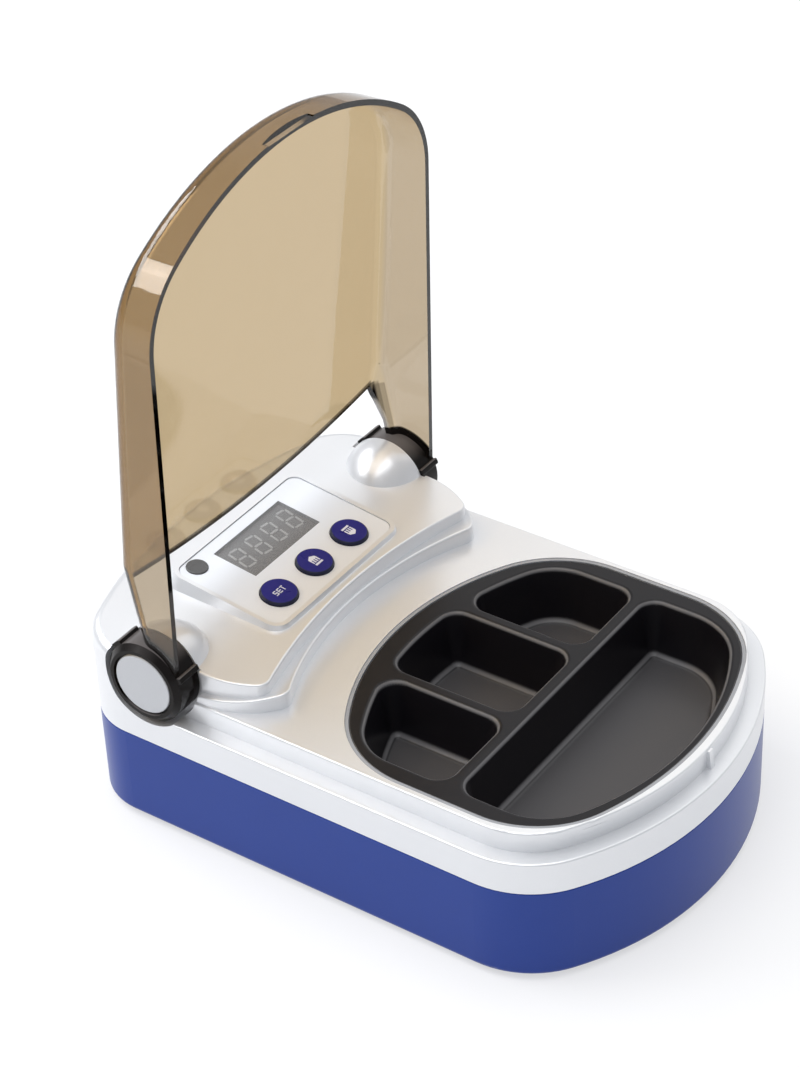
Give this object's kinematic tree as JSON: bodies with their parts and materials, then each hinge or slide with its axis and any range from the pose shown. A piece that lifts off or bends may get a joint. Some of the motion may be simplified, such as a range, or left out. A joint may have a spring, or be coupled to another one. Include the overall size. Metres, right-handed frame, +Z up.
{
  "type": "dental laboratory wax heater",
  "caption": "Bench-top heater that keeps dental waxes molten in open wells, with a tilted key panel and a smoked lid on side hinges.",
  "frame": {"origin": "centre of the overall box, on the plane the rubber feet stand on", "axes": "+Z up, the wells and the lid's open side toward -Y, the hinge line along X near the +Y end"},
  "size_m": [0.1626, 0.2312, 0.2509],
  "materials": {
    "silver_shell": "satin silver lacquer on moulded plastic",
    "blue_shell": "satin blue lacquer on moulded plastic",
    "smoked_clear": "clear smoked brown, polished",
    "hinge_black": "polished black",
    "cap_silver": "satin",
    "coated_aluminium": "black non-stick coating",
    "seal_grey": "grey silicone",
    "foot_rubber": "matt black",
    "steel": "plain turned",
    "core_steel": "varnished laminations",
    "copper_winding": "enamelled copper winding",
    "washer_nylon": "natural nylon",
    "blue_key": "glossy dark blue",
    "window_grey": "dark tinted pane",
    "display_black": "dark grey face",
    "digit_grey": "pale unlit bars",
    "lens_grey": "dark tinted lens",
    "led_clear": "tinted resin",
    "board_green": "green solder mask",
    "black_plastic": "moulded black",
    "terminal_green": "moulded green",
    "bare_aluminium": "mill finish",
    "felt": "glass-fibre felt",
    "heater_mat": "silicone heating mat",
    "probe": "metal cased",
    "cutout_metal": "metal cased",
    "wire_cover": "insulated wire",
    "ribbon_grey": "flat ribbon cable"
  },
  "bodies": {
    "case": {"base_housing": "blue_shell", "board_ribbon": "ribbon_grey", "capacitors": "black_plastic", "control_board": "board_green", "control_board_screws": "steel", "control_panel": "silver_shell", "display_digits": "digit_grey", "display_module": "display_black", "display_window": "window_grey", "foil_heater": "heater_mat", "heat_shield": "bare_aluminium", "heater_leads": "wire_cover", "housing_screws": "steel", "indicator_led": "led_clear", "indicator_lens": "lens_grey", "inlet_pins": "steel", "insulation_pad": "felt", "left_friction_washer": "washer_nylon", "left_hinge_pin": "steel", "mains_inlet": "black_plastic", "mains_leads": "wire_cover", "pot_seal": "seal_grey", "power_board": "board_green", "power_board_screws": "steel", "relay": "black_plastic", "right_friction_washer": "washer_nylon", "right_hinge_pin": "steel", "rubber_feet": "foot_rubber", "shield_screws": "steel", "switch_frame": "black_plastic", "tact_switches": "black_plastic", "temperature_sensor": "probe", "terminal_block": "terminal_green", "thermal_cutout": "cutout_metal", "top_housing": "silver_shell", "transformer_coil": "copper_winding", "transformer_core": "core_steel", "triac": "black_plastic", "triac_heat_sink": "bare_aluminium", "wax_pot": "coated_aluminium"},
    "lid_on_hinges": {"lid": "smoked_clear", "right_hinge_hub": "hinge_black", "left_hinge_hub": "hinge_black", "right_hinge_cap": "cap_silver", "left_hinge_cap": "cap_silver"},
    "set_button": {"button_set": "blue_key", "set_plunger": "black_plastic"},
    "up_button": {"button_up": "blue_key", "up_plunger": "black_plastic"},
    "down_button": {"button_down": "blue_key", "down_plunger": "black_plastic"},
    "power_rocker_body": {"power_rocker": "black_plastic"}
  },
  "joints": [
    {"name": "lid_hinge", "type": "hinge", "parent": "case", "child": "lid_on_hinges", "pos_m": [0, 0.07032, 0.06624], "axis": [1, 0, 0], "range_deg": [0, 88.69]},
    {"name": "set_button_press", "type": "slide", "parent": "case", "child": "set_button", "axis": [0, 0.1323, -0.9912], "range_m": [0, 0.0008], "stiffness_N_per_m": 600},
    {"name": "up_button_press", "type": "slide", "parent": "case", "child": "up_button", "axis": [0, 0.1323, -0.9912], "range_m": [0, 0.0008], "stiffness_N_per_m": 600},
    {"name": "down_button_press", "type": "slide", "parent": "case", "child": "down_button", "axis": [0, 0.1323, -0.9912], "range_m": [0, 0.0008], "stiffness_N_per_m": 600},
    {"name": "power_rocker_tilt", "type": "hinge", "parent": "case", "child": "power_rocker_body", "pos_m": [0.019, 0.1086, 0.021], "axis": [1, 0, 0], "range_deg": [0, 16]}
  ]
}
